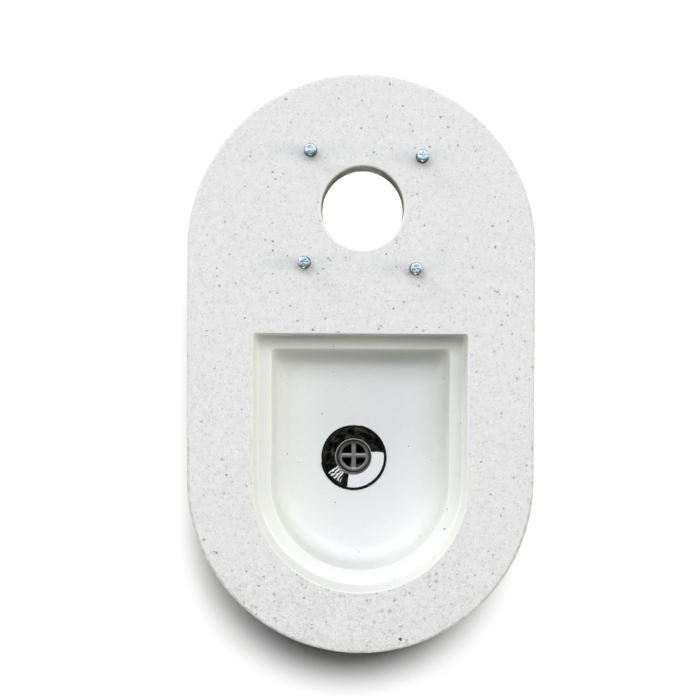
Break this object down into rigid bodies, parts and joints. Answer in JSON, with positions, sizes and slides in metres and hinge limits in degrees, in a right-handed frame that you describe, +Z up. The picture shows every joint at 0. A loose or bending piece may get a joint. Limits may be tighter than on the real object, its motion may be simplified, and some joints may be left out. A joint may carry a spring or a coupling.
{
  "type": "drinking fountain",
  "caption": "Head of a public drinking fountain: a round-ended terrazzo slab with a tap hole and tap studs, a stepped D-shaped basin and a chromed waste with a lift-out strainer.",
  "frame": {"origin": "middle of the slab in plan, at the height of the waste's lower end", "axes": "+Z up in use, +Y towards the tap end, -Y towards the drinker, +X to the drinker's right"},
  "size_m": [0.3, 0.5, 0.161],
  "materials": {
    "terrazzo": "ground top face with fine grey chips, smooth as-cast basin",
    "chrome_plate": "mirror polished",
    "strainer_metal": "dull cast grey",
    "zinc_plate": "blue-white zinc plating",
    "socket_steel": "galvanised",
    "plain_brass": "as turned",
    "black_rubber": "matt",
    "white_plastic": "moulded"
  },
  "bodies": {
    "head": {"fountain_body": "terrazzo", "waste_body": "chrome_plate", "flange_seal": "black_rubber", "lower_seal": "black_rubber", "slip_washer": "white_plastic", "waste_backnut": "plain_brass", "tap_stud_rear_left": "zinc_plate", "tap_stud_rear_right": "zinc_plate", "tap_stud_front_left": "zinc_plate", "tap_stud_front_right": "zinc_plate", "stud_washer_rear_left": "zinc_plate", "stud_washer_rear_right": "zinc_plate", "stud_washer_front_left": "zinc_plate", "stud_washer_front_right": "zinc_plate", "stud_nut_rear_left": "zinc_plate", "stud_nut_rear_right": "zinc_plate", "stud_nut_front_left": "zinc_plate", "stud_nut_front_right": "zinc_plate", "pedestal_socket_rear_left": "socket_steel", "pedestal_socket_rear_right": "socket_steel", "pedestal_socket_front_left": "socket_steel", "pedestal_socket_front_right": "socket_steel"},
    "strainer": {"strainer_grid": "strainer_metal"}
  },
  "joints": [
    {"name": "strainer_lift", "type": "slide", "parent": "head", "child": "strainer", "axis": [0, 0, 1], "range_m": [0, 0.09]}
  ]
}
